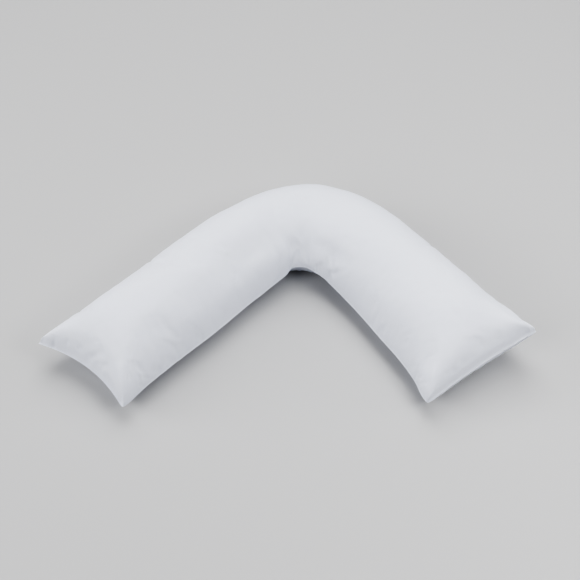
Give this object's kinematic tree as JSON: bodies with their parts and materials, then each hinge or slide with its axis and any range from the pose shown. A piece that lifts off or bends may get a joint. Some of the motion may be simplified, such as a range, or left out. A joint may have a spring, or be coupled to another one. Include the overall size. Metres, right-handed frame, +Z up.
{
  "type": "v shaped pillow",
  "caption": "V shaped bed pillow of white cotton, filled, with a rounded elbow, pointed corners and drawn-in arm ends, lying flat.",
  "frame": {"origin": "middle of the pillow's box, on the surface it lies on", "axes": "+X across the two arms, +Y from the open mouth of the V to its elbow, +Z up"},
  "size_m": [1.0466, 0.6044, 0.1671],
  "materials": {
    "cotton_cover": "matt plain-woven white cotton"
  },
  "bodies": {
    "root": {"pillow": "cotton_cover"}
  },
  "joints": []
}
